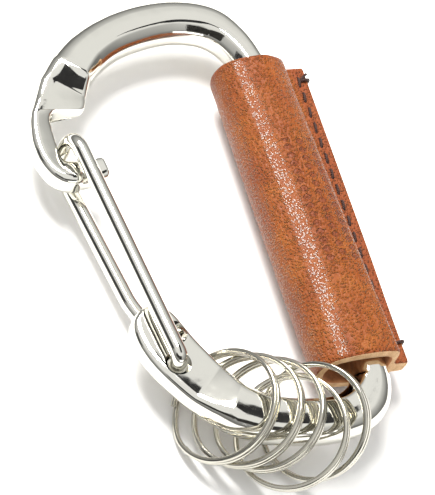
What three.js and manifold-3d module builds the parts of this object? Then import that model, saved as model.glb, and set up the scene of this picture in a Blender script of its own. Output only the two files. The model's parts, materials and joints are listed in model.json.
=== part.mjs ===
// Carabiner key holder: cast body, sprung wire gate, leather sleeve with its seam thread, five split rings.
// Millimetres. It lies flat: +X towards the spine, +Y towards the top arc, +Z up out of the body's plane.
import * as THREE from 'three';
import { mergeVertices } from 'three/addons/utils/BufferGeometryUtils.js';
import Module from 'manifold-3d';

// ---- Driving dimensions ----
const barThickness = 6.9;
const barBevel = 1.8;
const gateEndThickness = 4.4;
const tongueThickness = 3.4;
const spineTop = new THREE.Vector2(17.4, 33);
const spineBottom = new THREE.Vector2(19.4, -28);
const spineWidth = 6.4;

const wireDiameter = 2.9;
const wireGap = 0.3;
const pivotHoleDiameter = 3.5;
const pivotFront = new THREE.Vector2(-14.7, -24.1);
const pivotRear = new THREE.Vector2(-13.7, -18.3);
const gateTravel = THREE.MathUtils.degToRad(24);
const gateTopSpread = 4.5;

const sleeveBottomY = -28.5;
const sleeveLength = 63.2;
const sleeveTaper = 1.9;
const leatherThickness = 1.5;
const sleeveHalfHeight = 5.6;
const sleeveLeft = 9.2;
const sleeveRight = 24.4;
const flangeRight = 27.4;
const flangeTopZ = 0.6;

const threadDiameter = 0.7;
const threadX = 25.9;

const ringOuterDiameter = 20.3;
const ringWireDiameter = 0.9;
const ringTurnPitch = 0.96;
// Each ring's centre and the direction its flat side faces. They lean on one another like spilt coins.
const ringPlaces = [
  { centre: [-7.7, -31.6, -0.9], faces: [-0.7, 0.1, 0.71] },
  { centre: [-4.2, -33.1, -0.5], faces: [-0.62, 0.05, 0.78] },
  { centre: [-0.7, -34.4, -0.4], faces: [-0.63, 0.05, 0.78] },
  { centre: [2.4, -37.9, -0.9], faces: [-0.59, -0.06, 0.81] },
  { centre: [6.9, -36.7, -0.6], faces: [-0.72, -0.17, 0.67] },
];

// ---- Materials ----
const nickel = new THREE.MeshStandardMaterial({ color: 0xd2d0c6, roughness: 0.12, metalness: 1 });
const ringSteel = new THREE.MeshStandardMaterial({ color: 0xcbc9bf, roughness: 0.18, metalness: 1 });
const leather = new THREE.MeshStandardMaterial({ color: 0xb45a22, roughness: 0.5, metalness: 0 });
const waxedThread = new THREE.MeshStandardMaterial({ color: 0x4a1e14, roughness: 0.7, metalness: 0 });

// ---- Solid helpers ----
const wasm = await Module();
wasm.setup();

function toSolid(geometry) {
  const bare = geometry.index ? geometry.toNonIndexed() : geometry.clone();
  bare.deleteAttribute('normal');
  bare.deleteAttribute('uv');
  const merged = mergeVertices(bare, 1e-4);
  return new wasm.Manifold(new wasm.Mesh({
    numProp: 3,
    vertProperties: new Float32Array(merged.attributes.position.array),
    triVerts: new Uint32Array(merged.index.array),
  }));
}

function toGeometry(solid) {
  const mesh = solid.getMesh();
  const geometry = new THREE.BufferGeometry();
  geometry.setAttribute('position', new THREE.BufferAttribute(new Float32Array(mesh.vertProperties), 3));
  geometry.setIndex(new THREE.BufferAttribute(new Uint32Array(mesh.triVerts), 1));
  geometry.computeVertexNormals();
  return geometry;
}

function namedMesh(name, geometry, material) {
  const mesh = new THREE.Mesh(geometry, material);
  mesh.name = name;
  return mesh;
}

function vectors(pairs) {
  return pairs.map(([x, y]) => new THREE.Vector2(x, y));
}

// A block that fills everything on the far side of a plane, for cutting a flat face.
function blockAbove(point, normal) {
  const side = 120;
  const block = new THREE.BoxGeometry(side, side, side);
  block.translate(0, 0, side / 2);
  block.applyQuaternion(new THREE.Quaternion().setFromUnitVectors(new THREE.Vector3(0, 0, 1), normal));
  block.translate(point.x, point.y, point.z);
  return toSolid(block);
}

// The same cut on the front and on the back of the body.
function cutBothFaces(solid, cutter) {
  return solid.subtract(cutter).subtract(cutter.mirror([0, 0, 1]));
}

function postAlongZ(centre, diameter, bottomZ, topZ) {
  const post = new THREE.CylinderGeometry(diameter / 2, diameter / 2, topZ - bottomZ, 24);
  post.rotateX(Math.PI / 2);
  post.translate(centre.x, centre.y, (bottomZ + topZ) / 2);
  return toSolid(post);
}

// A polyline whose corners are rounded, as a wire is bent round a former.
function bentWirePath(corners, bendRadius) {
  const path = new THREE.CurvePath();
  let from = corners[0];
  for (let i = 1; i < corners.length - 1; i += 1) {
    const toCorner = corners[i].clone().sub(from).normalize();
    const fromCorner = corners[i + 1].clone().sub(corners[i]).normalize();
    const turn = toCorner.angleTo(fromCorner);
    const setBack = bendRadius[i - 1] * Math.tan(turn / 2);
    const bendStart = corners[i].clone().addScaledVector(toCorner, -setBack);
    const bendEnd = corners[i].clone().addScaledVector(fromCorner, setBack);
    path.add(new THREE.LineCurve3(from, bendStart));
    path.add(new THREE.QuadraticBezierCurve3(bendStart, corners[i], bendEnd));
    from = bendEnd;
  }
  path.add(new THREE.LineCurve3(from, corners[corners.length - 1]));
  return path;
}

function roundWire(path, diameter, sides, steps) {
  const section = new THREE.Shape();
  section.absarc(0, 0, diameter / 2, 0, Math.PI * 2, false);
  return new THREE.ExtrudeGeometry(section, { extrudePath: path, steps, curveSegments: sides / 2 });
}

// ---- Body: a bevelled plate, thinned towards the nose and at the gate end ----
function bodyOutline() {
  const spineOffset = spineWidth / 2;
  const outline = new THREE.Shape();
  outline.moveTo(-16.4, 14.5);
  outline.splineThru(vectors([[-19.4, 13.3], [-22.4, 12.9], [-25.1, 13.6], [-27.1, 15.7], [-28.3, 18.7],
    [-28.7, 22.2], [-28.3, 25.6], [-27, 29.6], [-24.7, 34.6], [-21.2, 40], [-16.3, 44.5], [-10.2, 48.1],
    [-3.1, 50.5], [4.2, 51.3], [10.4, 50.4], [14.9, 47.9], [18.1, 43.3], [19.9, 38.3]]));
  outline.lineTo(spineTop.x + spineOffset, spineTop.y);
  outline.lineTo(spineBottom.x + spineOffset, spineBottom.y);
  outline.splineThru(vectors([[22.1, -33.2], [20, -37.1], [16.6, -39.6], [12.3, -40.8], [7.7, -41.1],
    [2.7, -40.5], [-2.4, -39.5], [-7, -37.5], [-11.2, -34.4], [-14.3, -30.8], [-16.8, -27.3], [-18.9, -23.7],
    [-20.2, -20.2], [-20.6, -17.3], [-20.2, -15], [-18.8, -13.2], [-16.5, -12.4], [-14.2, -12.9],
    [-12.6, -14.6]]));
  outline.splineThru(vectors([[-11.6, -16.8], [-10.6, -19.1], [-9, -22.1], [-7.1, -25.3], [-4.6, -28.5],
    [-1.3, -31], [2.2, -32.3], [6, -33.1], [10.6, -33.4], [13.7, -32.2], [15.7, -30.2]]));
  outline.lineTo(spineBottom.x - spineOffset, spineBottom.y);
  outline.lineTo(spineTop.x - spineOffset, spineTop.y);
  outline.splineThru(vectors([[13.7, 36.2], [12.6, 38.9], [10.6, 41.4], [7.7, 42.8], [4.7, 43.2], [1.5, 43],
    [-2.6, 42.1], [-6, 40.9], [-9, 39.3], [-12, 37], [-14, 34.9], [-15.4, 32.4], [-16.3, 30],
    [-16.9, 27.6]]));
  outline.lineTo(-15.9, 18.6);
  outline.quadraticCurveTo(-15.4, 15.7, -16.4, 14.5);
  return outline;
}

// The open groove under the nose's step, where the gate's crossbar rests.
function makeNoseGroove() {
  const groove = new THREE.Shape();
  groove.moveTo(-8, 28.8);
  groove.lineTo(-22.1, 28.8);
  groove.quadraticCurveTo(-24.2, 28.8, -24.2, 26.6);
  groove.lineTo(-24.2, 19.2);
  groove.quadraticCurveTo(-24.2, 17.6, -22.6, 17.6);
  groove.lineTo(-15, 18.2);
  groove.lineTo(-8, 18.2);
  const depth = barThickness + 2;
  const slab = new THREE.ExtrudeGeometry(groove, { depth, bevelEnabled: false, curveSegments: 6 });
  slab.translate(0, 0, -depth / 2);
  return toSolid(slab);
}

function makeBody() {
  const half = barThickness / 2;
  const plate = new THREE.ExtrudeGeometry(bodyOutline(), {
    depth: barThickness - 2 * barBevel,
    bevelThickness: barBevel,
    bevelSize: barBevel,
    bevelOffset: -barBevel,
    bevelSegments: 2,
    curveSegments: 2,
    steps: 1,
  });
  plate.translate(0, 0, barBevel - half);
  let body = toSolid(plate);

  // Nose: a face that falls inwards from the outer rail, behind a short ramp.
  const wedgeNormal = new THREE.Vector3(0.326, -0.196, 1).normalize();
  const wedge = blockAbove(new THREE.Vector3(-18.5, 38.1, half), wedgeNormal);
  const rampNormal = new THREE.Vector3(-0.41, -0.44, 1).normalize();
  const noseRamp = blockAbove(new THREE.Vector3(-17.1, 36.8, half), rampNormal);
  const nearNose = blockAbove(new THREE.Vector3(0, 10, 0), new THREE.Vector3(0, 1, 0));
  body = cutBothFaces(body, wedge.intersect(noseRamp).intersect(nearNose));

  // Gate end: a flat thinned face behind a long ramp.
  const thinFace = blockAbove(new THREE.Vector3(0, 0, gateEndThickness / 2), new THREE.Vector3(0, 0, 1));
  const endNormal = new THREE.Vector3(-0.21, 0.185, 1).normalize();
  const endRamp = blockAbove(new THREE.Vector3(-6.1, -32, half), endNormal);
  const belowGap = blockAbove(new THREE.Vector3(-10, 0, 0), new THREE.Vector3(-0.1, -1, 0).normalize());
  const leftOfBar = blockAbove(new THREE.Vector3(0, 0, 0), new THREE.Vector3(-1, 0, 0));
  body = cutBothFaces(body, thinFace.intersect(endRamp).intersect(belowGap).intersect(leftOfBar));

  body = body.subtract(makeNoseGroove());

  // Tongue under the crossbar, narrow enough to pass between the gate's legs.
  const tongueSide = new THREE.BoxGeometry(8, 8, half);
  tongueSide.translate(-21.6 + 4, 19 - 4, tongueThickness / 2 + half / 2);
  body = cutBothFaces(body, toSolid(tongueSide));

  // Pivot holes: one for each end of the wire. The rear one widens at the back for the swing of its end.
  const through = half + 1;
  body = body.subtract(postAlongZ(pivotFront, pivotHoleDiameter, -through, through));
  body = body.subtract(postAlongZ(pivotRear, pivotHoleDiameter, -through, through));
  const swingSteps = 6;
  const arm = pivotRear.clone().sub(pivotFront);
  for (let i = 1; i <= swingSteps; i += 1) {
    const turn = -gateTravel * i / swingSteps;
    const reach = arm.clone().rotateAround(new THREE.Vector2(), turn).add(pivotFront);
    body = body.subtract(postAlongZ(reach, pivotHoleDiameter, -through, 0));
  }
  return toGeometry(body);
}

// ---- Gate: one wire from the front pivot, up, across the nose and down to the rear pivot ----
function makeGate() {
  const legZ = gateEndThickness / 2 + wireGap + wireDiameter / 2;
  const pinDepth = 0.4;
  const corners = [
    new THREE.Vector3(pivotFront.x, pivotFront.y, pinDepth),
    new THREE.Vector3(pivotFront.x, pivotFront.y, legZ),
    new THREE.Vector3(-21.5, 21.4, gateTopSpread),
    new THREE.Vector3(-22.9, 21.1, -gateTopSpread),
    new THREE.Vector3(-17.6, -8.5, -legZ),
    new THREE.Vector3(pivotRear.x, pivotRear.y, -legZ),
    new THREE.Vector3(pivotRear.x, pivotRear.y, -pinDepth),
  ];
  return roundWire(bentWirePath(corners, [1.7, 3.8, 3.8, 12, 1.7]), wireDiameter, 10, 96);
}

// The tube's right wall follows the spine, which leans in towards the top; the flange's edge stays straight.
function taperTowardsTop(positions, fixedX) {
  for (let i = 0; i < positions.count; i += 1) {
    const x = positions.getX(i);
    if (x > fixedX && x <= sleeveRight) {
      const across = (x - fixedX) / (sleeveRight - fixedX);
      const along = (positions.getY(i) - sleeveBottomY) / sleeveLength;
      positions.setX(i, x - sleeveTaper * across * along);
    }
  }
}

// ---- Sleeve: its section in X and Z, drawn out along Y ----
function makeSleeve() {
  const wall = leatherThickness;
  const outer = new THREE.Shape();
  const flat = sleeveLeft + 6;
  const corner = 3.6;
  outer.moveTo(flat, sleeveHalfHeight);
  outer.bezierCurveTo(sleeveLeft + 2.4, sleeveHalfHeight, sleeveLeft, 3.2, sleeveLeft, 0);
  outer.bezierCurveTo(sleeveLeft, -3.2, sleeveLeft + 2.4, -sleeveHalfHeight, flat, -sleeveHalfHeight);
  outer.lineTo(sleeveRight - corner, -sleeveHalfHeight);
  outer.quadraticCurveTo(sleeveRight, -sleeveHalfHeight, sleeveRight, -sleeveHalfHeight + corner);
  outer.lineTo(sleeveRight, flangeTopZ - 2 * wall + 0.1);
  outer.lineTo(flangeRight, flangeTopZ - 2 * wall + 0.1);
  outer.lineTo(flangeRight, flangeTopZ);
  outer.lineTo(sleeveRight, flangeTopZ);
  outer.lineTo(sleeveRight, sleeveHalfHeight - corner);
  outer.quadraticCurveTo(sleeveRight, sleeveHalfHeight, sleeveRight - corner, sleeveHalfHeight);
  outer.lineTo(flat, sleeveHalfHeight);

  const bore = new THREE.Path();
  const inLeft = sleeveLeft + wall;
  const inRight = sleeveRight - wall;
  const inHalf = sleeveHalfHeight - wall;
  const inCorner = 1.5;
  bore.moveTo(flat, inHalf);
  bore.lineTo(inRight - inCorner, inHalf);
  bore.quadraticCurveTo(inRight, inHalf, inRight, inHalf - inCorner);
  bore.lineTo(inRight, -inHalf + inCorner);
  bore.quadraticCurveTo(inRight, -inHalf, inRight - inCorner, -inHalf);
  bore.lineTo(flat, -inHalf);
  bore.bezierCurveTo(inLeft + 1.6, -inHalf, inLeft, -2.2, inLeft, 0);
  bore.bezierCurveTo(inLeft, 2.2, inLeft + 1.6, inHalf, flat, inHalf);
  outer.holes.push(bore);

  const settings = { depth: sleeveLength, bevelEnabled: false, curveSegments: 8 };
  const sleeve = new THREE.ExtrudeGeometry(outer, settings);
  // The section's second axis becomes +Z, and the sleeve runs from its bottom end towards +Y.
  sleeve.rotateX(Math.PI / 2);
  sleeve.translate(0, sleeveBottomY + sleeveLength, 0);
  taperTowardsTop(sleeve.attributes.position, flat);
  sleeve.computeVertexNormals();
  return sleeve;
}

// ---- Seam thread: down the flange's upper face, round its outer edge, and back along the lower face ----
function makeThread() {
  const clearance = threadDiameter / 2 + wireGap;
  const upper = flangeTopZ + clearance;
  const lower = flangeTopZ - 2 * leatherThickness + 0.1 - clearance;
  const edge = flangeRight + clearance;
  const low = sleeveBottomY + 4;
  const high = sleeveBottomY + sleeveLength - 2.9;
  const corners = [
    new THREE.Vector3(edge, high, 0),
    new THREE.Vector3(edge, high, upper),
    new THREE.Vector3(threadX, high, upper),
    new THREE.Vector3(threadX, low, upper),
    new THREE.Vector3(edge, low, upper),
    new THREE.Vector3(edge, low, lower),
    new THREE.Vector3(threadX, low, lower),
    new THREE.Vector3(threadX, high, lower),
    new THREE.Vector3(edge, high, lower),
    new THREE.Vector3(edge, high, -1.2),
  ];
  return roundWire(bentWirePath(corners, Array(8).fill(0.6)), threadDiameter, 6, 90);
}

// ---- Split ring: two flat turns side by side, joined by a short step past the free ends ----
class SplitRingCurve extends THREE.Curve {
  getPoint(t, target = new THREE.Vector3()) {
    const radius = (ringOuterDiameter - ringWireDiameter) / 2;
    const stepAngle = THREE.MathUtils.degToRad(40);
    const endGap = THREE.MathUtils.degToRad(8);
    const angle = t * (Math.PI * 4 - stepAngle - endGap);
    const intoStep = (angle - (Math.PI * 2 - stepAngle)) / stepAngle;
    const rise = THREE.MathUtils.smoothstep(intoStep, 0, 1);
    return target.set(radius * Math.cos(angle), radius * Math.sin(angle), ringTurnPitch * (rise - 0.5));
  }
}

function makeRing() {
  return roundWire(new SplitRingCurve(), ringWireDiameter, 6, 72);
}

// ---- Assembly ----
const keyHolder = new THREE.Group();
keyHolder.add(namedMesh('carabiner_body', makeBody(), nickel));
keyHolder.add(namedMesh('wire_gate', makeGate(), nickel));
keyHolder.add(namedMesh('leather_sleeve', makeSleeve(), leather));
keyHolder.add(namedMesh('seam_thread', makeThread(), waxedThread));

ringPlaces.forEach(({ centre, faces }, i) => {
  const ring = namedMesh(`split_ring_${i + 1}`, makeRing(), ringSteel);
  ring.quaternion.setFromUnitVectors(new THREE.Vector3(0, 0, 1), new THREE.Vector3(...faces).normalize());
  ring.rotateZ(THREE.MathUtils.degToRad(200));
  ring.position.set(...centre);
  keyHolder.add(ring);
});

// The origin is under the middle of the whole holder, at the level it lies on.
keyHolder.updateMatrixWorld(true);
const extent = new THREE.Box3().setFromObject(keyHolder, true);
const middle = extent.getCenter(new THREE.Vector3());
keyHolder.position.set(-middle.x, -middle.y, -extent.min.z);

export default keyHolder;
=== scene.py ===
import json
import math

import bmesh
import bpy
from mathutils import Matrix, Vector, noise


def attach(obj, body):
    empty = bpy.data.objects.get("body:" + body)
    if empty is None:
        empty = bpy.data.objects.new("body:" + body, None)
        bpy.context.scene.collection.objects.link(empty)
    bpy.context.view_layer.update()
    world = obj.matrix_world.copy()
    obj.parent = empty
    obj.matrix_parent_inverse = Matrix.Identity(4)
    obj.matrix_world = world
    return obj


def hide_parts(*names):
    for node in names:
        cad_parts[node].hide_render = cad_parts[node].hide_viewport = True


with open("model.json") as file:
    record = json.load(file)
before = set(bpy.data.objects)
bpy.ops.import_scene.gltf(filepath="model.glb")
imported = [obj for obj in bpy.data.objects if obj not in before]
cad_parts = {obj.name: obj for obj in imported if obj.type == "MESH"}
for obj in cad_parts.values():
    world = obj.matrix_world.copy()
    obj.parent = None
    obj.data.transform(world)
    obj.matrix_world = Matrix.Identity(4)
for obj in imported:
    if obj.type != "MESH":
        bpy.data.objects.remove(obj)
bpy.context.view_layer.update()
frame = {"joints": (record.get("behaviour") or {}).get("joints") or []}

mm = 0.001

# The body's own plane: its middle is z = 0, and points are given in millimetres
# from the same zero as the solids.
hingeJoint = next(joint for joint in frame["joints"] if joint["name"] == "gate_hinge")
pivotFront = Vector((-14.7, -24.1, 0))
pivotRear = Vector((-13.7, -18.3, 0))
planeShift = Vector(hingeJoint["pos_m"]) - pivotFront * mm


def place(x, y, z=0.0):
    return Vector((x, y, z)) * mm + planeShift


class Value:
    def __init__(self, finish, socket):
        self.finish = finish
        self.socket = socket

    def join(self, operation, first, second):
        return self.finish.add("ShaderNodeMath", {"operation": operation}, {0: first, 1: second})

    def __add__(self, other):
        return self.join("ADD", self, other)

    def __radd__(self, other):
        return self.join("ADD", other, self)

    def __sub__(self, other):
        return self.join("SUBTRACT", self, other)

    def __rsub__(self, other):
        return self.join("SUBTRACT", other, self)

    def __mul__(self, other):
        return self.join("MULTIPLY", self, other)

    def __rmul__(self, other):
        return self.join("MULTIPLY", other, self)

    def __truediv__(self, other):
        return self.join("DIVIDE", self, other)

    def above(self, level):
        return self.join("GREATER_THAN", self, level)

    def lowest(self, other):
        return self.join("MINIMUM", self, other)

    def highest(self, other):
        return self.join("MAXIMUM", self, other)

    def wave(self, operation="SINE"):
        return self.join(operation, self, 0.0)

    def ramp(self, low, high, toLow=0.0, toHigh=1.0):
        settings = {"interpolation_type": "SMOOTHSTEP", "clamp": True}
        inputs = {"Value": self, "From Min": low, "From Max": high, "To Min": toLow, "To Max": toHigh}
        return self.finish.add("ShaderNodeMapRange", settings, inputs, "Result")


class Finish:
    def __init__(self, name, owner=None):
        self.material = owner or bpy.data.materials.new(name)
        self.material.use_nodes = True
        self.tree = self.material.node_tree
        self.tree.nodes.clear()
        self.coords = self.add("ShaderNodeTexCoord", output="Object")
        self.scaled = {}

    def add(self, kind, settings=None, inputs=None, output=0):
        node = self.tree.nodes.new(kind)
        for name, setting in (settings or {}).items():
            if name == "stops":
                for stop in setting[2:]:
                    node.color_ramp.elements.new(stop[0])
                for element, (position, colour) in zip(node.color_ramp.elements, setting):
                    element.position = position
                    element.color = (*colour, 1)
            else:
                setattr(node, name, setting)
        for name, given in (inputs or {}).items():
            socket = node.inputs[name]
            if isinstance(given, Value):
                self.tree.links.new(given.socket, socket)
            else:
                socket.default_value = given
        return Value(self, node.outputs[output]) if node.outputs else None

    # Object coordinates in millimetres, stretched along each axis.
    def spread(self, x=1.0, y=1.0, z=1.0):
        if (x, y, z) not in self.scaled:
            inputs = {"Vector": self.coords, "Scale": (x / mm, y / mm, z / mm)}
            self.scaled[(x, y, z)] = self.add("ShaderNodeMapping", {}, inputs, "Vector")
        return self.scaled[(x, y, z)]

    def axes(self):
        parts = self.add("ShaderNodeSeparateXYZ", {}, {"Vector": self.spread()}, "X").socket.node
        return [Value(self, parts.outputs[axis]) for axis in "XYZ"]

    def cloud(self, scale, detail=3.0, roughness=0.55, vector=None):
        inputs = {"Vector": vector or self.spread(), "Scale": scale, "Detail": detail,
                  "Roughness": roughness}
        return self.add("ShaderNodeTexNoise", {}, inputs, "Fac")

    def cells(self, scale, feature="F1", output="Distance", vector=None, randomness=1.0):
        inputs = {"Vector": vector or self.spread(), "Scale": scale, "Randomness": randomness}
        return self.add("ShaderNodeTexVoronoi", {"feature": feature}, inputs, output)

    def mix(self, first, second, factor):
        settings = {"data_type": "RGBA"}
        inputs = {0: factor, 6: self.colour(first), 7: self.colour(second)}
        return self.add("ShaderNodeMix", settings, inputs, 2)

    def colour(self, given):
        return given if isinstance(given, Value) else (*given, 1)

    def bump(self, height, distance, under=None):
        inputs = {"Height": height, "Distance": distance * mm, "Strength": 1.0}
        if under is not None:
            inputs["Normal"] = under
        return self.add("ShaderNodeBump", {}, inputs, "Normal")

    def finishWith(self, sockets):
        shader = self.add("ShaderNodeBsdfPrincipled", {}, sockets, "BSDF")
        self.add("ShaderNodeOutputMaterial", {}, {"Surface": shader})
        return self.material


nickelLook = {
    "colour": (0.78, 0.77, 0.71),
    "shadeColour": (0.71, 0.695, 0.63),
    "roughness": 0.06,
    "smears": 0.07,
    "waviness": 0.012,
}


def nickelFinish(name, look):
    finish = Finish(name)
    broad = finish.cloud(0.09, 2.0)
    smears = finish.cloud(0.55, 4.0, 0.65)
    rubbed = finish.cloud(1.0, 3.0, 0.6, finish.spread(6.0, 0.35, 6.0))
    pits = finish.cells(1.3, "F1").ramp(0.02, 0.07, 1.0, 0.0) * smears.ramp(0.55, 0.7)
    tone = finish.mix(look["colour"], look["shadeColour"], (broad * 0.6 + pits * 0.5).lowest(1.0))
    height = broad * 0.8 + finish.cloud(0.3, 1.0) * 0.25
    polish = finish.bump(height, look["waviness"] * 10)
    fine = finish.bump(rubbed * 0.5 + smears * 0.5 - pits * 0.6, look["waviness"] * 0.25, polish)
    return finish.finishWith(sockets={
        "Base Color": tone,
        "Metallic": 1.0,
        "Roughness": look["roughness"] + smears.ramp(0.45, 0.75) * look["smears"] + pits * 0.2,
        "Normal": fine,
    })


nickel = nickelFinish("polishedNickel", nickelLook)
nickelWire = nickelFinish("polishedNickelWire", {**nickelLook, "waviness": 0.006, "roughness": 0.07})
ringSteelLook = {
    **nickelLook,
    "colour": (0.62, 0.60, 0.53),
    "shadeColour": (0.46, 0.44, 0.37),
    "roughness": 0.11,
    "waviness": 0.004,
}
ringSteel = nickelFinish("ringSteel", ringSteelLook)

leatherLook = {
    "bright": (0.315, 0.086, 0.007),
    "deep": (0.2, 0.041, 0.004),
    # The pale tone serves both for worn patches and for the painted highlight on the pebble tops.
    "wornAndGlint": (0.52, 0.225, 0.04),
    "seam": (0.24, 0.055, 0.018),
    "stamp": (0.17, 0.036, 0.010),
    "roughness": 0.30,
    "grainSize": 2.6,
    "stampRows": (16.6, 19.2, 21.6),
}


def leatherFinish(name, look):
    finish = Finish(name)
    x, y, z = finish.axes()
    left = x - planeShift.x / mm
    up = y - planeShift.y / mm
    squashed = finish.spread(1.0, 0.85, 1.0)
    grain = finish.cells(look["grainSize"], "DISTANCE_TO_EDGE", "Distance", squashed)
    pebble = grain.ramp(0.0, 0.28)
    finer = finish.cloud(3.2, 3.0, 0.6)
    mottle = finish.cloud(0.16, 4.0, 0.6)
    streak = finish.cloud(0.5, 3.0, 0.55, finish.spread(1.0, 0.16, 1.0))
    cloudy = (mottle * 0.8 + streak * 0.5 - 0.12).ramp(0.28, 0.72)
    tone = finish.mix(look["deep"], look["bright"], cloudy)
    tone = finish.mix(tone, look["wornAndGlint"], mottle.ramp(0.55, 0.8) * 0.3)
    dome = finish.cells(look["grainSize"], "F1", "Distance", squashed).ramp(0.05, 0.6, 1.0, 0.0)
    patches = finish.cloud(1.5, 2.0).ramp(0.38, 0.62)
    # Painted highlight: pebble tops are lightened towards the pale tone, in patches, to stand in for glints of
    # light off the grain.
    tone = finish.mix(tone, look["wornAndGlint"], dome * patches * 0.45)
    # Painted shade: the narrow valleys between pebbles are darkened towards the deep tone.
    tone = finish.mix(tone, look["deep"], (1 - pebble) * 0.7)
    onFlange = left.ramp(24.0, 25.2)
    tone = finish.mix(tone, look["seam"], onFlange * 0.6)
    burnished = up.ramp(-28.5, -27.0, 1.0, 0.0).highest(up.ramp(33.0, 34.2)) * 0.55
    tone = finish.mix(tone, look["deep"], burnished)
    # A plain pressed pattern: three rows of small lozenges.
    along = up + 1.0
    inBand = along.ramp(-9.0, -8.8) * along.ramp(17.0, 17.2, 1.0, 0.0) * z.above(planeShift.z / mm + 2.0)
    pressed = None
    for row, across in enumerate(look["stampRows"]):
        repeat = ((along + row * 0.9) * (math.pi / 1.8)).wave("SINE").wave("ABSOLUTE")
        distance = (left - across + along * 0.03).wave("ABSOLUTE") / 0.85 + (1 - repeat) * 1.35
        lozenge = distance.ramp(0.75, 0.95, 1.0, 0.0)
        pressed = lozenge if pressed is None else pressed.highest(lozenge)
    stamp = pressed * inBand
    tone = finish.mix(tone, look["stamp"], stamp * finer.ramp(0.25, 0.6, 0.35, 0.8))
    creases = finish.cloud(0.9, 3.0, 0.5, finish.spread(1.0, 0.3, 1.0)).ramp(0.35, 0.65)
    height = dome * (0.55 + patches * 0.5) + finer * 0.3 + creases * 0.3 - stamp * 0.9
    polish = look["roughness"] + (1 - pebble) * 0.22 + mottle * 0.12 + onFlange * 0.12
    return finish.finishWith(sockets={
        "Base Color": tone,
        "Roughness": polish,
        "Specular IOR Level": 0.32,
        "Coat Weight": dome * 0.75,
        "Coat Roughness": 0.12,
        "Normal": finish.bump(height, 0.42),
    })


def rawLeatherFinish(name, pale, dark, roughness):
    finish = Finish(name)
    fibres = finish.cloud(4.5, 4.0, 0.7, finish.spread(1.0, 0.5, 1.0))
    blotch = finish.cloud(0.6, 3.0)
    tone = finish.mix(dark, pale, (fibres * 0.6 + blotch * 0.5).ramp(0.35, 0.7))
    return finish.finishWith(sockets={
        "Base Color": tone,
        "Roughness": roughness + fibres * 0.1,
        "Normal": finish.bump(fibres, 0.08),
    })


leather = leatherFinish("cognacLeather", leatherLook)
cutEdge = rawLeatherFinish("cutLeatherEdge", (0.78, 0.52, 0.29), (0.50, 0.27, 0.12), 0.75)
fleshSide = rawLeatherFinish("fleshSide", (0.56, 0.24, 0.10), (0.34, 0.13, 0.05), 0.85)


def threadFinish(name):
    finish = Finish(name)
    x, y, z = finish.axes()
    twist = ((y * 1.0 + x * 1.6 + z * 1.2) * 11.0).wave() * 0.5 + 0.5
    fuzz = finish.cloud(6.0, 3.0)
    tone = finish.mix((0.018, 0.005, 0.003), (0.06, 0.018, 0.010), (twist * 0.6 + fuzz * 0.4))
    return finish.finishWith(sockets={
        "Base Color": tone,
        "Roughness": 0.5 + fuzz * 0.2,
        "Normal": finish.bump(twist, 0.08),
    })


thread = threadFinish("waxedThread")
print("finishes ready")


# Moves a ring of points along a path: each loop is extruded from the one before and set in its place.
def loft(mesh, loops, capped=True):
    current = bmesh.ops.create_circle(mesh, segments=len(loops[0]), radius=1, cap_ends=False)["verts"]
    for vert, point in zip(current, loops[0]):
        vert.co = point
    edges = list({edge for vert in current for edge in vert.link_edges})
    ends = [edges]
    for points in loops[1:]:
        made = bmesh.ops.extrude_edge_only(mesh, edges=edges)["geom"]
        fresh = {item for item in made if isinstance(item, bmesh.types.BMVert)}
        current = [next(edge.other_vert(vert) for edge in vert.link_edges
                        if edge.other_vert(vert) in fresh)
                   for vert in current]
        for vert, point in zip(current, points):
            vert.co = point
        edges = [item for item in made
                 if isinstance(item, bmesh.types.BMEdge) and fresh.issuperset(item.verts)]
    ends.append(edges)
    if capped:
        for rim in ends:
            bmesh.ops.contextual_create(mesh, geom=rim)
    return ends


# A closed polygon with every corner rounded, always with the same number of points.
def roundedSection(corners, radii, steps=4):
    points = []
    count = len(corners)
    for i, corner in enumerate(corners):
        before = corners[i - 1] - corner
        after = corners[(i + 1) % count] - corner
        back = min(radii[i], 0.46 * before.length)
        on = min(radii[i], 0.46 * after.length)
        start = corner + before.normalized() * back
        end = corner + after.normalized() * on
        for k in range(steps):
            t = k / (steps - 1)
            points.append(start.lerp(corner, t).lerp(corner.lerp(end, t), t))
    return points


def catmullRom(points, i, t):
    last = len(points) - 1
    p0, p1, p2, p3 = (points[max(0, min(last, k))] for k in (i - 1, i, i + 1, i + 2))
    square, cube = t * t, t * t * t
    return 0.5 * (2 * p1 + (p2 - p0) * t + (2 * p0 - 5 * p1 + 4 * p2 - p3) * square
                  + (3 * p1 - p0 - 3 * p2 + p3) * cube)


# A bent wire's centre line: straight runs with a smooth bend at each inner corner.
def bentPath(corners, bends, spacing=0.7):
    pieces = []
    start = corners[0]
    for i in range(1, len(corners) - 1):
        toCorner = (corners[i] - start).normalized()
        fromCorner = (corners[i + 1] - corners[i]).normalized()
        setBack = bends[i - 1] * math.tan(toCorner.angle(fromCorner) / 2)
        bendStart = corners[i] - toCorner * setBack
        bendEnd = corners[i] + fromCorner * setBack
        pieces.append((start, None, bendStart))
        pieces.append((bendStart, corners[i], bendEnd))
        start = bendEnd
    pieces.append((start, None, corners[-1]))
    path = [corners[0]]
    for first, middle, last in pieces:
        steps = max(2, int((last - first).length / (spacing if middle is None else spacing * 0.35)))
        for k in range(1, steps + 1):
            t = k / steps
            path.append(first.lerp(last, t) if middle is None
                        else first.lerp(middle, t).lerp(middle.lerp(last, t), t))
    return path


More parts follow.
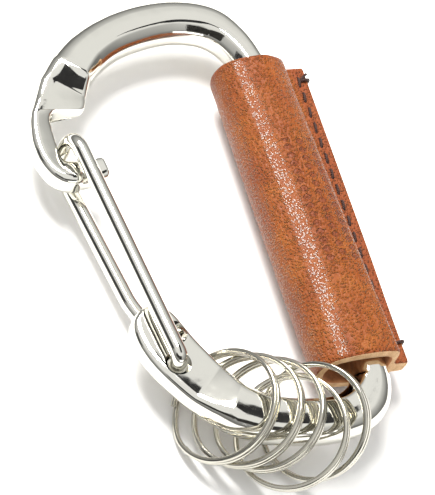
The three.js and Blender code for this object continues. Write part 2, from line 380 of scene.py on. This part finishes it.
# Loops of a round wire round a path, turned as little as possible from one to the next.
def wireLoops(path, radius, sides, domed=True):
    tangents = [(path[min(i + 1, len(path) - 1)] - path[max(i - 1, 0)]).normalized()
                for i in range(len(path))]
    side = tangents[0].orthogonal().normalized()
    loops = []
    for i, (point, tangent) in enumerate(zip(path, tangents)):
        side = (side - tangent * side.dot(tangent)).normalized()
        other = tangent.cross(side)
        loops.append([point + (side * math.cos(a) + other * math.sin(a)) * radius
                      for a in (2 * math.pi * k / sides for k in range(sides))])
    if not domed:
        return loops
    def dome(loop, centre, outward):
        return [[centre + (p - centre) * s + outward * radius * d for p in loop]
                for s, d in ((0.35, 0.32), (0.78, 0.22), (0.96, 0.08))]
    head = dome(loops[0], path[0], -tangents[0])
    tail = dome(loops[-1], path[-1], tangents[-1])
    return head + loops + tail[::-1]


def toRow(loops):
    return [[place(*point) for point in loop] for loop in loops]


def makePiece(name, mesh, materials, body, nodes, sharp=40):
    bmesh.ops.recalc_face_normals(mesh, faces=mesh.faces)
    data = bpy.data.meshes.new(name)
    mesh.to_mesh(data)
    mesh.free()
    for material in materials:
        data.materials.append(material)
    data.polygons.foreach_set("use_smooth", [True] * len(data.polygons))
    data.set_sharp_from_angle(angle=math.radians(sharp))
    piece = bpy.data.objects.new(name, data)
    bpy.context.scene.collection.objects.link(piece)
    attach(piece, body)
    if nodes:
        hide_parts(*nodes)
    return piece


bodyShape = {
    "halfHeight": 3.45,
    "wallTop": 1.65,
    "bevel": 1.8,
    "endHalfHeight": 2.2,
    "tongueHalfHeight": 1.6,
    "crown": 0.10,
    "spacing": 0.8,
    "cornerRounding": {"outerWall": 0.8, "outerFace": 0.8, "crown": 4.0,
                       "innerFace": 0.45, "innerWall": 1.0, "soft": 2.2},
    "holeRadius": 1.75,
}
full, endHalf, tongue = (bodyShape[key] for key in ("halfHeight", "endHalfHeight", "tongueHalfHeight"))
wall, bevel = bodyShape["wallTop"], bodyShape["bevel"]

# Stations from the tongue's tip to the gate end: outer point, inner point, then the outer and inner heights of
# the front face, how far in the inner edge's bevel starts, and the top of the inner wall.
hookStations = [
    ((-16.2, 15.2), (-16.5, 17.6), 0.9, 0.9, 0.1, 0.6),
    ((-16.15, 14.7), (-16.6, 18.1), 1.45, 1.45, 0.3, 1.0),
    ((-16.5, 14.2), (-16.9, 18.3), tongue, tongue, 0.4, 1.25),
    ((-19.4, 13.3), (-19.3, 17.9), tongue, tongue, 0.4, 1.25),
    ((-21.55, 13.0), (-21.3, 17.7), tongue, tongue, 0.4, 1.25),
    ((-21.62, 12.98), (-21.4, 17.7), 2.3, 2.0, 0.5, 1.5),
    ((-21.9, 12.95), (-21.7, 17.66), 2.5, 2.2, 0.4, 1.7),
    ((-23.4, 13.0), (-22.9, 17.65), 2.5, 2.1, 0.4, 1.7),
    ((-25.4, 13.8), (-23.6, 17.95), 2.45, 2.0, 0.4, 1.6),
    ((-27.1, 15.7), (-24.1, 18.8), 2.45, 1.95, 0.4, 1.55),
    ((-28.3, 18.7), (-24.2, 20.2), 2.4, 1.9, 0.4, 1.5),
    ((-28.7, 22.2), (-24.2, 22.6), 2.48, 1.88, 0.4, 1.45),
    ((-28.5, 24.8), (-24.2, 25.4), 2.6, 1.9, 0.4, 1.4),
    ((-28.25, 26.4), (-24.1, 26.8), 2.66, 1.93, 0.4, 1.4),
    ((-28.05, 27.2), (-23.6, 27.9), 2.7, 1.93, 0.4, 1.35),
    ((-27.9, 27.7), (-22.9, 28.5), 2.72, 1.89, 0.4, 1.3),
    ((-27.8, 28.05), (-21.9, 28.78), 2.73, 1.78, 0.4, 1.2),
]
mainStations = [
    ((-27.75, 28.2), (-17.75, 28.75), 2.735, 1.13, 0.3, 0.8),
    ((-27.65, 28.45), (-17.3, 28.87), 2.75, 1.14, 0.4, 0.85),
    ((-27.5, 28.8), (-17.0, 29.15), 2.77, 1.18, 0.45, 0.9),
    ((-26.9, 30.0), (-16.6, 30.0), 2.83, 1.28, 0.5, 0.95),
    ((-24.5, 35.4), (-16.3, 31.1), 3.16, 1.4, 0.5, 1.05),
    ((-24.3, 35.7), (-16.2, 31.25), 3.18, 1.43, 0.5, 1.05),
    ((-21.3, 39.8), (-14.75, 34.0), 3.4, 3.35, 0.9, wall),
    ((-20.9, 40.2), (-14.5, 34.4), full, full, 1.2, wall),
    ((-16.3, 44.5), (-11.2, 37.7), full, full, bevel, wall),
    ((-10.2, 48.1), (-7.2, 40.4), full, full, bevel, wall),
    ((-3.1, 50.5), (-2.2, 42.2), full, full, bevel, wall),
    ((4.2, 51.3), (3.6, 43.2), full, full, bevel, wall),
    ((10.4, 50.4), (8.3, 42.6), full, full, bevel, wall),
    ((14.9, 47.9), (11.0, 41.1), full, full, bevel, wall),
    ((18.1, 43.3), (12.8, 38.6), full, full, bevel, wall),
    ((19.9, 38.3), (13.75, 36.0), full, full, bevel, wall),
    ((20.6, 33.0), (14.2, 33.0), full, full, bevel, wall),
    ((21.1, 17.75), (14.7, 17.75), full, full, bevel, wall),
    ((21.6, 2.5), (15.2, 2.5), full, full, bevel, wall),
    ((22.1, -12.75), (15.7, -12.75), full, full, bevel, wall),
    ((22.6, -28.0), (16.1, -28.0), full, full, bevel, wall),
    ((22.1, -33.2), (15.5, -30.4), full, full, bevel, wall),
    ((20.0, -37.1), (13.8, -32.1), full, full, bevel, wall),
    ((16.6, -39.6), (11.6, -33.2), full, full, bevel, wall),
    ((12.3, -40.8), (8.9, -33.4), full, full, bevel, wall),
    ((7.7, -41.1), (5.8, -33.1), full, full, bevel, wall),
    ((2.7, -40.5), (2.2, -32.3), full, full, bevel, wall),
    ((-2.4, -39.5), (-1.2, -31.0), full, full, bevel, wall),
    ((-6.4, -37.8), (-3.0, -29.9), full, full, bevel, wall),
    ((-9.2, -36.1), (-4.4, -28.7), full, full, bevel, wall),
    ((-13.9, -31.3), (-7.1, -25.3), endHalf, endHalf, 0.55, wall),
    ((-16.8, -27.3), (-9.0, -22.1), endHalf, endHalf, 0.55, wall),
    ((-18.9, -23.7), (-10.4, -19.5), endHalf, endHalf, 0.55, wall),
    ((-20.2, -20.2), (-11.1, -17.9), endHalf, endHalf, 0.55, wall),
    ((-20.6, -17.3), (-11.8, -16.3), endHalf, endHalf, 0.55, wall),
    ((-20.2, -15.0), (-12.7, -14.5), endHalf, endHalf, 0.55, wall),
    ((-18.9, -13.3), (-14.1, -13.05), endHalf, endHalf, 0.55, wall),
    ((-18.2, -12.85), (-14.9, -12.7), 2.0, 2.0, 0.5, 1.5),
    ((-17.5, -12.6), (-15.6, -12.5), 1.3, 1.3, 0.4, 0.9),
]


def bodyLoop(outer, inner, outerHeight, innerHeight, bevelIn, innerWall):
    across = inner - outer
    width = across.length
    across.normalize()
    outerWall = min(wall, outerHeight * 0.6)
    lip = min(outerHeight - outerWall, width * 0.4)
    bevelIn = min(bevelIn, width * 0.4)
    middle = (lip + width - bevelIn) / 2
    crown = (outerHeight + innerHeight) / 2 + bodyShape["crown"] * min(1, width / 8)
    upper = [(0, outerWall), (lip, outerHeight), (middle, crown),
             (width - bevelIn, innerHeight), (width, innerWall)]
    rounding = bodyShape["cornerRounding"]
    soft = rounding["soft"] if outerHeight > 2.9 else 1.0
    radii = [rounding["outerWall"] * soft, rounding["outerFace"] * soft, rounding["crown"],
             rounding["innerFace"], rounding["innerWall"]]
    corners = [Vector(p) for p in upper] + [Vector((x, -z)) for x, z in reversed(upper)]
    return [(*(outer + across * point.x), point.y)
            for point in roundedSection(corners, radii + radii[::-1])]


def bodyLoops(stations):
    outers = [Vector(station[0]) for station in stations]
    inners = [Vector(station[1]) for station in stations]
    loops = []
    for i in range(len(stations) - 1):
        span = max((outers[i + 1] - outers[i]).length, (inners[i + 1] - inners[i]).length)
        count = max(1, round(span / bodyShape["spacing"]))
        # Two close loops at each station keep the creases crisp.
        if count > 2:
            steps = [0.0] + [0.06 + 0.88 * k / count for k in range(count + 1)]
        else:
            steps = [k / count for k in range(count)]
        for t in steps:
            heights = [a + (b - a) * t for a, b in zip(stations[i][2:], stations[i + 1][2:])]
            loops.append(bodyLoop(catmullRom(outers, i, t), catmullRom(inners, i, t), *heights))
    loops.append(bodyLoop(outers[-1], inners[-1], *stations[-1][2:]))
    return loops


def holeCutter(mesh, centre, radius):
    profile = [(radius, 0), (radius, 1.75), (radius + 0.5, endHalf),
               (radius + 1.2, endHalf + 0.96), (0, endHalf + 0.96)]
    profile = [(r, -z) for r, z in reversed(profile[1:])] + profile
    verts = [bmesh.ops.create_vert(mesh, co=place(centre.x + r, centre.y, z))["vert"][0] for r, z in profile]
    edges = [mesh.edges.new(pair) for pair in zip(verts, verts[1:])]
    bmesh.ops.spin(mesh, geom=verts + edges, cent=place(*centre), axis=(0, 0, 1), angle=math.tau, steps=48,
                   use_merge=True, use_duplicate=False)
    bmesh.ops.remove_doubles(mesh, verts=mesh.verts, dist=1e-7)
    bmesh.ops.recalc_face_normals(mesh, faces=mesh.faces)


def swingCutter(mesh):
    # The rear end of the wire swings through this slot behind the body's middle plane.
    arm = pivotRear - pivotFront
    radius = bodyShape["holeRadius"]
    verts = []
    for turn in (0, 13, 26):
        reach = Matrix.Rotation(-math.radians(turn), 3, "Z") @ arm + pivotFront
        made = bmesh.ops.create_cone(mesh, segments=32, radius1=(radius + 0.1) * mm,
                                     radius2=(radius + 0.02) * mm,
                                     depth=4 * mm, cap_ends=True, matrix=Matrix.Translation(place(reach.x, reach.y, -2)))
        verts += [vert.co.copy() for vert in made["verts"]]
    mesh.clear()
    verts = [bmesh.ops.create_vert(mesh, co=point)["vert"][0] for point in verts]
    hull = bmesh.ops.convex_hull(mesh, input=verts)
    spare = list({item for item in hull["geom_interior"] + hull["geom_unused"]
                  if isinstance(item, bmesh.types.BMVert)})
    bmesh.ops.delete(mesh, geom=spare, context="VERTS")


def cutWith(piece, build):
    mesh = bmesh.new()
    build(mesh)
    data = bpy.data.meshes.new("cutter")
    mesh.to_mesh(data)
    mesh.free()
    cutter = bpy.data.objects.new("cutter", data)
    bpy.context.scene.collection.objects.link(cutter)
    change = piece.modifiers.new("cut", "BOOLEAN")
    change.operation = "DIFFERENCE"
    change.solver = "EXACT"
    change.object = cutter
    cut = bpy.data.meshes.new_from_object(piece.evaluated_get(bpy.context.evaluated_depsgraph_get()))
    piece.modifiers.remove(change)
    piece.data = cut
    bpy.data.objects.remove(cutter)


bodyMesh = bmesh.new()
loft(bodyMesh, toRow(bodyLoops(hookStations) + bodyLoops(mainStations)))
body = makePiece("carabinerBody", bodyMesh, [nickel], "carabiner", ["carabiner_body"], sharp=34)
cutWith(body, lambda mesh: holeCutter(mesh, pivotFront, bodyShape["holeRadius"]))
cutWith(body, lambda mesh: holeCutter(mesh, pivotRear, bodyShape["holeRadius"]))
cutWith(body, swingCutter)
body.data.polygons.foreach_set("use_smooth", [True] * len(body.data.polygons))
body.data.set_sharp_from_angle(angle=math.radians(34))
print("body ready", len(body.data.polygons))

gateShape = {
    "radius": 1.45,
    "sides": 28,
    "legHeight": 3.95,
    "pinDepth": 0.8,
    "spread": 4.5,
    "bends": [1.7, 3.8, 3.8, 12, 1.7],
}
gateCorners = [
    Vector((pivotFront.x, pivotFront.y, gateShape["pinDepth"])),
    Vector((pivotFront.x, pivotFront.y, gateShape["legHeight"])),
    Vector((-21.8, 21.5, gateShape["spread"])),
    Vector((-23.0, 21.1, -gateShape["spread"])),
    Vector((-17.6, -8.5, -gateShape["legHeight"])),
    Vector((pivotRear.x, pivotRear.y, -gateShape["legHeight"])),
    Vector((pivotRear.x, pivotRear.y, -gateShape["pinDepth"])),
]
gateMesh = bmesh.new()
gatePath = bentPath(gateCorners, gateShape["bends"])
loft(gateMesh, toRow(wireLoops(gatePath, gateShape["radius"], gateShape["sides"])))
makePiece("gateWire", gateMesh, [nickelWire], "gate", ["wire_gate"])
print("gate ready")

ringShape = {
    "radius": 9.7,
    "halfAcross": 0.45,
    "halfAlong": 0.45,
    "corner": 0.3,
    "pitch": 0.96,
    "stepAngle": 40,
    "endGap": 8,
    "startTurn": 200,
    "stations": 220,
}
ringPlaces = [
    ((-7.7, -31.6, -0.9), (-0.7, 0.1, 0.71)),
    ((-4.2, -33.1, -0.5), (-0.62, 0.05, 0.78)),
    ((-0.7, -34.4, -0.4), (-0.63, 0.05, 0.78)),
    ((2.4, -37.9, -0.9), (-0.59, -0.06, 0.81)),
    ((6.9, -36.7, -0.6), (-0.72, -0.17, 0.67)),
]


def ringLoops(centre, faces):
    shape = ringShape
    turned = Vector((0, 0, 1)).rotation_difference(Vector(faces)).to_matrix()
    turned = turned @ Matrix.Rotation(math.radians(shape["startTurn"]), 3, "Z")
    step, gap = math.radians(shape["stepAngle"]), math.radians(shape["endGap"])
    a, b = shape["halfAcross"], shape["halfAlong"]
    section = roundedSection([Vector(p) for p in ((a, b), (-a, b), (-a, -b), (a, -b))], [shape["corner"]] * 4)
    loops = []
    for i in range(shape["stations"] + 1):
        angle = i / shape["stations"] * (4 * math.pi - step - gap)
        t = max(0.0, min(1.0, (angle - (2 * math.pi - step)) / step))
        rise = shape["pitch"] * (t * t * (3 - 2 * t) - 0.5)
        outward = Vector((math.cos(angle), math.sin(angle), 0))
        middle = outward * shape["radius"] + Vector((0, 0, rise))
        loops.append([turned @ (middle + outward * p.x + Vector((0, 0, p.y))) + Vector(centre) for p in section])
    return loops


for number, (centre, faces) in enumerate(ringPlaces, 1):
    ringMesh = bmesh.new()
    loft(ringMesh, toRow(ringLoops(centre, faces)))
    makePiece(f"splitRing{number}", ringMesh, [ringSteel], f"ring_{number}",
              [f"split_ring_{number}"])
print("rings ready")

sleeveShape = {
    "bottom": -28.5,
    "top": 34.8,
    "left": 9.2,
    "right": 24.4,
    "half": 5.6,
    "wall": 1.5,
    "flangeRight": 27.3,
    "flangeTop": 0.6,
    "flangeBottom": -2.3,
    "stations": 70,
    "endRounding": 0.3,
}


def sleeveSection(t, inset):
    s = sleeveShape
    left = s["left"] + 0.5 * (1 - t) ** 2 - 0.15 * t + inset
    right = s["right"] - 1.9 * t - 0.25 * math.sin(math.pi * t) - inset
    half = s["half"] - inset
    drop, run = 0.7 + 1.0 * t, 1.6 + 1.8 * t
    edge = s["flangeRight"] - inset
    top, bottom = s["flangeTop"] - inset, s["flangeBottom"] + inset
    middle = (top + bottom) / 2
    corners = [
        (edge, top), (right + 0.5, top + 0.05), (right, top + 0.6), (right, half - drop), (right - run, half + 0.1),
        (left + 7.4, half + 0.4), (left + 1.5, half - 1.2), (left - 0.2, 0),
        (left + 1.1, 0.9 - half), (left + 7.4, -half - 0.3), (right - run, -half - 0.1), (right, drop - half),
        (right, bottom - 0.6), (right + 0.5, bottom - 0.05), (edge - 0.25, bottom),
        (edge - 0.12, middle - 0.12), (edge - 0.6, middle), (edge, middle + 0.12),
    ]
    radii = [0.35, 0.3, 0.3] + [9] * 9 + [0.3, 0.3, 0.35, 0.12, 0.06, 0.12]
    return roundedSection([Vector(p) for p in corners], radii, 6)


def boreSection(t, inset):
    s = sleeveShape
    left = s["left"] + s["wall"] + 0.5 * (1 - t) ** 2 - 0.15 * t - inset
    right = s["right"] - s["wall"] + 0.2 - 1.9 * t - 0.25 * math.sin(math.pi * t) + inset
    half = s["half"] - s["wall"] - 0.3 + 0.3 * t + inset
    turn = 1.2 + 0.5 * t
    # One corner for each of the outer section's, so that the two join straight across at the ends.
    front = [(right, 0.35), (right, 0.55), (right, 0.75), (right, half - turn), (right - turn, half),
             (left + 6, half), (left + 1.2, half - 0.9), (left, 0)]
    rear = [(left + 1.2, 0.9 - half), (left + 6, -half), (right - turn, -half), (right, turn - half),
            (right, -1.6), (right, -1.3), (right, -1.0), (right, -0.7), (right, -0.4), (right, -0.1)]
    radii = [0.05] * 3 + [9] * 9 + [0.05] * 6
    return roundedSection([Vector(p) for p in front + rear], radii, 6)


def sleeveLoops(section):
    s = sleeveShape
    length = s["top"] - s["bottom"]
    rounding = s["endRounding"]
    loops = []
    ends = [(0.0, 1.0), (0.12, 0.45), (0.35, 0.15), (0.8, 0.0)]
    steps = [(d * rounding / 0.35, i * rounding) for d, i in ends]
    steps += [(1.2 + (length - 2.4) * k / s["stations"], 0.0) for k in range(s["stations"] + 1)]
    steps += [(length - d * rounding / 0.35, i * rounding) for d, i in reversed(ends)]
    for along, inset in steps:
        t = along / length
        y = s["bottom"] + along
        loop = []
        for point in section(t, inset):
            # Hand-formed leather is never quite true.
            sway = noise.noise(Vector((point.x * 0.12, y * 0.07, point.y * 0.12))) * 0.16
            lean = 0.10 * math.sin(y * 0.11 + 0.6)
            loop.append((point.x + lean * 0.4, y, point.y + sway))
        loops.append(loop)
    return loops


sleeveMesh = bmesh.new()
outerLoops, boreLoops = toRow(sleeveLoops(sleeveSection)), toRow(sleeveLoops(boreSection))
rims = [[outerLoops[0], boreLoops[0]], [outerLoops[-1], boreLoops[-1]]]
for loops, index in ((outerLoops, 0), (boreLoops, 2), (rims[0], 1), (rims[1], 1)):
    before = set(sleeveMesh.faces)
    loft(sleeveMesh, loops, capped=False)
    for face in set(sleeveMesh.faces) - before:
        face.material_index = index
bmesh.ops.remove_doubles(sleeveMesh, verts=sleeveMesh.verts, dist=1e-7)
bmesh.ops.recalc_face_normals(sleeveMesh, faces=sleeveMesh.faces)
for face in sleeveMesh.faces:
    offset = face.calc_center_median() - planeShift
    x, y = offset.x / mm, offset.y / mm
    nearEnd = y < sleeveShape["bottom"] + 0.12 or y > sleeveShape["top"] - 0.12
    if face.material_index == 0 and (nearEnd or (x > 27.1 and abs(face.normal.x) > 0.7)):
        face.material_index = 1
makePiece("leatherSleeve", sleeveMesh, [leather, cutEdge, fleshSide], "carabiner",
          ["leather_sleeve"], sharp=50)
print("sleeve ready")

stitchShape = {
    "line": 25.5,
    "pitch": 3.4,
    "first": -24.6,
    "last": 31.6,
    "radius": 0.27,
    "lift": 0.16,
    "sides": 10,
}


def stitchPath(y, surface, outward):
    s = stitchShape
    half = s["pitch"] / 2 - 0.5
    path = []
    for k in range(9):
        t = k / 8 * 2 - 1
        height = s["lift"] - 0.75 * abs(t) ** 5
        path.append(Vector((s["line"] + 0.12 * t, y + half * t, surface + outward * height)))
    return path


stitchMesh = bmesh.new()
upperFace, lowerFace = sleeveShape["flangeTop"], sleeveShape["flangeBottom"]
count = round((stitchShape["last"] - stitchShape["first"]) / stitchShape["pitch"])
for k in range(count):
    middle = stitchShape["first"] + (k + 0.5) * stitchShape["pitch"]
    for surface, outward in ((upperFace, 1), (lowerFace, -1)):
        path = stitchPath(middle, surface, outward)
        loft(stitchMesh, toRow(wireLoops(path, stitchShape["radius"], stitchShape["sides"])))
for y in (stitchShape["first"], stitchShape["last"]):
    edge = sleeveShape["flangeRight"] + 0.25
    corners = [Vector((stitchShape["line"], y, upperFace - 0.5)), Vector((stitchShape["line"] + 0.2, y, upperFace + 0.3)),
               Vector((edge, y + 0.3, upperFace + 0.25)), Vector((edge, y + 0.3, lowerFace - 0.25)),
               Vector((stitchShape["line"] + 0.2, y, lowerFace - 0.3)), Vector((stitchShape["line"], y, lowerFace + 0.5))]
    path = bentPath(corners, [0.35, 0.5, 0.5, 0.35], 0.4)
    loft(stitchMesh, toRow(wireLoops(path, stitchShape["radius"], stitchShape["sides"])))
stub = [Vector((stitchShape["line"] + 0.4, stitchShape["last"] + 0.2, upperFace + 0.3)),
        Vector((stitchShape["line"] + 1.2, stitchShape["last"] + 1.0, upperFace + 0.55)),
        Vector((stitchShape["line"] + 1.7, stitchShape["last"] + 1.3, upperFace + 0.5))]
loft(stitchMesh, toRow(wireLoops(bentPath(stub, [0.4], 0.3),
                                 stitchShape["radius"] * 0.9, stitchShape["sides"])))
makePiece("seamStitches", stitchMesh, [thread], "carabiner", ["seam_thread"])
print("stitches ready")

cameraSetup = {
    "towards": (28.0, 25.0, -18.0),
    "aim": (-0.04, -1.12, -0.67),
    "distance": 400.0,
    "lens": 167.3,
}
lowering, sideways, roll = (math.radians(angle) for angle in cameraSetup["towards"])
level = math.cos(lowering)
back = Vector((-math.sin(sideways) * level, -math.sin(lowering), math.cos(sideways) * level))
upright = Vector((0, 1, 0))
upright = (upright - back * upright.dot(back)).normalized()
across = upright.cross(back)
right = across * math.cos(roll) + upright * math.sin(roll)
upright = back.cross(right)
camera = bpy.data.objects.new("camera", bpy.data.cameras.new("camera"))
camera.data.lens = cameraSetup["lens"]
camera.data.clip_start = 0.01
location = place(*cameraSetup["aim"]) + back * cameraSetup["distance"] * mm
camera.matrix_world = Matrix.Translation(location) @ Matrix((right, upright, back)).transposed().to_4x4()
bpy.context.scene.collection.objects.link(camera)
bpy.context.scene.camera = camera


def stageCard(name, centre, towards, size, colour, shown=True):
    mesh = bmesh.new()
    facing = (Vector(towards) - Vector(centre)).to_track_quat("Z", "Y").to_matrix().to_4x4()
    bmesh.ops.create_grid(mesh, x_segments=2, y_segments=2, size=0.5,
                          matrix=Matrix.Translation(centre) @ facing @ Matrix.Diagonal((*size, 1, 1)))
    data = bpy.data.meshes.new(name)
    mesh.to_mesh(data)
    mesh.free()
    finish = Finish(name)
    data.materials.append(finish.finishWith(sockets={"Base Color": (*colour, 1), "Roughness": 0.9}))
    card = bpy.data.objects.new(name, data)
    bpy.context.scene.collection.objects.link(card)
    card.visible_camera = card.visible_diffuse = card.visible_shadow = shown


stageCard("floor", (0, 0, 0), (0, 0, 1), (4, 4), (0.95, 0.95, 0.945))
stageCard("overheadCard", (0.27, 0.0, 0.88), (0, 0, 0), (0.70, 0.38), (0.01, 0.01, 0.012), False)
stageCard("frontCard", (-0.12, -0.78, 0.54), (0, 0, 0.01), (0.62, 0.40), (0.012, 0.011, 0.010), False)
stageCard("frontLeftCard", (-0.58, -0.50, 0.54), (0, 0, 0.01), (0.52, 0.40), (0.012, 0.011, 0.010), False)
stageCard("sideCard", (-0.78, 0.24, 0.36), (0, 0, 0.01), (0.30, 0.36), (0.015, 0.015, 0.018), False)


def areaLight(name, direction, distance, size, power, colour=(1, 1, 1)):
    data = bpy.data.lights.new(name, "AREA")
    data.shape = "RECTANGLE"
    data.size, data.size_y = size
    data.energy = power
    data.color = colour
    lamp = bpy.data.objects.new(name, data)
    position = Vector(direction).normalized() * distance
    facing = position.to_track_quat("Z", "Y").to_matrix().to_4x4()
    lamp.matrix_world = Matrix.Translation(position) @ facing
    bpy.context.scene.collection.objects.link(lamp)


areaLight("keyLight", (-0.16, 0.47, 0.86), 0.8, (0.26, 0.5), 12.0, (1.0, 0.98, 0.95))
areaLight("frontFill", (0.1, -0.95, 0.22), 0.8, (0.6, 0.12), 0.8)

# The room grows lighter upwards: each level is a height and how light it is there.
roomLight = {
    "levels": ((0.0, 0.18), (0.2, 0.26), (0.42, 0.48), (0.62, 0.66), (0.76, 1.0)),
    "warmth": 0.99,
    "strength": 0.98,
}
world = bpy.data.worlds.new("softRoom")
room = Finish("softRoom", world)
direction = Value(room, room.coords.socket.node.outputs["Generated"])
upwards = room.add("ShaderNodeSeparateXYZ", {}, {"Vector": direction}, "Z")
stops = [(at, (light, light, light * roomLight["warmth"])) for at, light in roomLight["levels"]]
sky = room.add("ShaderNodeValToRGB", {"stops": stops + [(1.0, (1, 1, 1))]}, {"Fac": upwards}, "Color")
backdrop = room.add("ShaderNodeBackground", {}, {"Color": sky, "Strength": roomLight["strength"]},
                    "Background")
room.add("ShaderNodeOutputWorld", {}, {"Surface": backdrop})
bpy.context.scene.world = world
bpy.context.scene.view_settings.view_transform = "Standard"

print("stage ready")
